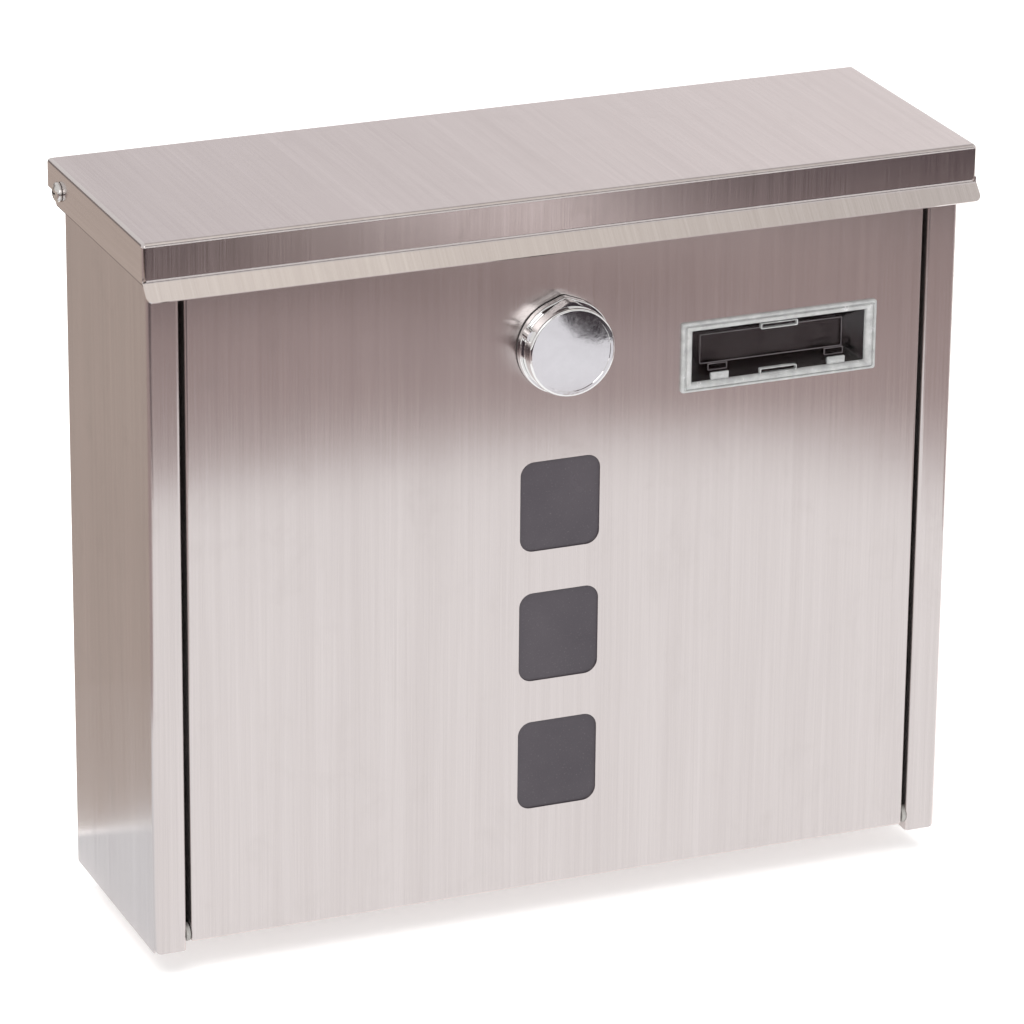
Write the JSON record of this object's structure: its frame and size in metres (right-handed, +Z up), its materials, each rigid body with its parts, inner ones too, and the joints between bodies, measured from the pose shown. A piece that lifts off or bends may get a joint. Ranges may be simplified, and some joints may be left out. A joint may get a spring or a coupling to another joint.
{
  "type": "wall mounted mailbox",
  "caption": "Stainless wall mailbox: hinged drip-edge lid over the letter opening, bottom-hinged locking door with square windows and a name holder.",
  "frame": {"origin": "centre of the four wall holes, on the wall's plane", "axes": "+Z up, +Y into the wall, +X to the right as seen from the front"},
  "size_m": [0.3758, 0.1318, 0.316],
  "materials": {
    "brushed_steel": "fine brushed grain, satin",
    "chrome_plate": "mirror chrome on cast zinc",
    "bright_steel": "bright",
    "zinc_steel": "zinc plated",
    "brass": "machined",
    "smoked_plastic": "smoked, smooth",
    "clear_plastic": "clear moulded polystyrene",
    "nylon": "moulded, satin",
    "rubber": "matt"
  },
  "bodies": {
    "shell": {"body_shell": "brushed_steel", "floor_panel": "brushed_steel", "top_rail": "brushed_steel", "wall_spacers": "nylon", "lid_pivot_screws": "bright_steel", "lid_pivot_bushes": "nylon", "lid_pivot_nuts": "zinc_steel", "door_hinge_rivets": "bright_steel", "door_spacer_washers": "nylon"},
    "lid": {"lid": "brushed_steel"},
    "door": {"door_panel": "brushed_steel", "window_panel": "smoked_plastic", "window_studs": "bright_steel", "window_push_nuts": "zinc_steel", "name_frame": "clear_plastic", "name_back": "clear_plastic", "lock_gasket": "rubber", "lock_base": "chrome_plate", "lock_nut": "zinc_steel"},
    "lock": {"lock_plug": "brass", "lock_wafers": "brass", "cam_stop_washer": "zinc_steel", "lock_cam": "zinc_steel", "cam_screw": "zinc_steel"},
    "cover": {"lock_cover": "chrome_plate", "lock_cover_pin": "bright_steel"}
  },
  "joints": [
    {"name": "lid_hinge", "type": "hinge", "parent": "shell", "child": "lid", "pos_m": [0, -0.021, 0.146], "axis": [-1, 0, 0], "range_deg": [0, 55]},
    {"name": "door_hinge", "type": "hinge", "parent": "shell", "child": "door", "pos_m": [0, -0.114, -0.1532], "axis": [1, 0, 0], "range_deg": [0, 90]},
    {"name": "lock_turn", "type": "hinge", "parent": "door", "child": "lock", "pos_m": [0, -0.118, 0.088], "axis": [0, -1, 0], "range_deg": [0, 90]},
    {"name": "cover_swing", "type": "hinge", "parent": "door", "child": "cover", "pos_m": [0, -0.122, 0.1058], "axis": [0, 1, 0], "range_deg": [0, 90]}
  ]
}
